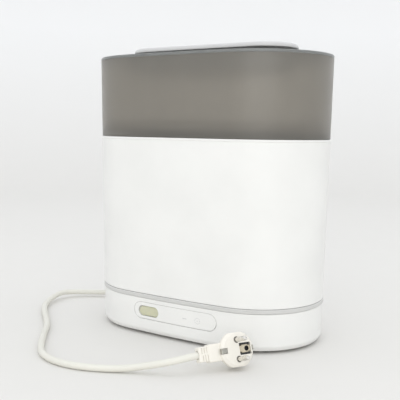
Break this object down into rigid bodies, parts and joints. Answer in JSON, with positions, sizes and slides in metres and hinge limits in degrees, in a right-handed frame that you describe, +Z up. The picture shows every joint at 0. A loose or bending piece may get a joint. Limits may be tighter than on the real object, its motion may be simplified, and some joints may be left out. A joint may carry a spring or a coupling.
{
  "type": "electric steam steriliser",
  "caption": "Oval electric steam steriliser: base with heating plate and lit button, stacked white and smoky baskets, lid with raised carrying plate, mains cord with plug.",
  "frame": {"origin": "centre of the footprint, on the surface that the feet stand on", "axes": "+Z up, +X along the long side, control panel towards -Y, mains cord leaves at +Y"},
  "size_m": [0.3868, 0.3761, 0.3328],
  "materials": {
    "white_plastic": "satin moulded white polypropylene",
    "ring_plastic": "satin light grey",
    "smoky_plastic": "translucent smoky grey, satin inside",
    "handle_plastic": "polished light grey",
    "button_lens": "translucent pale yellow-green",
    "plug_plastic": "warm white moulded",
    "cord_sheath": "warm white smooth sheath",
    "foot_rubber": "dark grey matt",
    "seal_rubber": "grey silicone",
    "steel": "plain",
    "pin_metal": "nickel plated",
    "heater_plate": "satin coated",
    "brass": "plain",
    "circuit_board": "green lacquer",
    "dark_plastic": "black moulded",
    "live_insulation": "brown",
    "neutral_insulation": "blue",
    "earth_insulation": "green and yellow"
  },
  "bodies": {
    "base": {"base_housing": "white_plastic", "base_cover": "white_plastic", "cover_screw_1": "steel", "cover_screw_2": "steel", "cover_screw_3": "steel", "cover_screw_4": "steel", "foot_1": "foot_rubber", "foot_2": "foot_rubber", "foot_3": "foot_rubber", "foot_4": "foot_rubber", "trim_ring": "ring_plastic", "control_panel": "white_plastic", "heating_plate": "heater_plate", "plate_seal": "seal_rubber", "heating_element": "steel", "clamp_ring": "steel", "clamp_ring_screw_1": "steel", "clamp_ring_screw_2": "steel", "clamp_ring_screw_3": "steel", "thermostat": "brass", "thermal_fuse": "steel", "button_spring": "steel", "circuit_board": "circuit_board", "tact_switch": "dark_plastic", "indicator_lamp": "button_lens", "relay": "dark_plastic", "capacitor": "neutral_insulation", "cord_clamp": "white_plastic", "clamp_screw_1": "steel", "clamp_screw_2": "steel", "terminal_block": "plug_plastic", "live_wire": "live_insulation", "neutral_wire": "neutral_insulation", "earth_wire": "earth_insulation", "cord_gland": "plug_plastic", "power_cord": "cord_sheath", "cord_tail": "cord_sheath", "plug_body": "plug_plastic", "earth_socket": "plug_plastic", "plug_pin_1": "pin_metal", "plug_pin_2": "pin_metal", "earth_clip_1": "pin_metal", "earth_clip_2": "pin_metal"},
    "button": {"power_button": "button_lens"},
    "lower_tier": {"large_basket": "white_plastic"},
    "upper_tier": {"small_basket": "smoky_plastic"},
    "items_plate": {"small_items_plate": "smoky_plastic"},
    "lid_assembly": {"lid": "smoky_plastic", "lid_handle": "handle_plastic", "handle_screw_1": "steel", "handle_screw_2": "steel", "handle_screw_3": "steel"}
  },
  "joints": [
    {"name": "button_press", "type": "slide", "parent": "base", "child": "button", "axis": [0, 1, 0], "range_m": [0, 0.0016], "stiffness_N_per_m": 800, "springref_m": -0.0008, "deforming": ["button_spring"]},
    {"name": "large_basket_lift", "type": "slide", "parent": "base", "child": "lower_tier", "axis": [0, 0, 1], "range_m": [0, 0.06]},
    {"name": "small_basket_lift", "type": "slide", "parent": "lower_tier", "child": "upper_tier", "axis": [0, 0, 1], "range_m": [0, 0.06]},
    {"name": "items_plate_lift", "type": "slide", "parent": "upper_tier", "child": "items_plate", "axis": [0, 0, 1], "range_m": [0, 0.045]},
    {"name": "lid_lift", "type": "slide", "parent": "upper_tier", "child": "lid_assembly", "axis": [0, 0, 1], "range_m": [0, 0.06]}
  ]
}
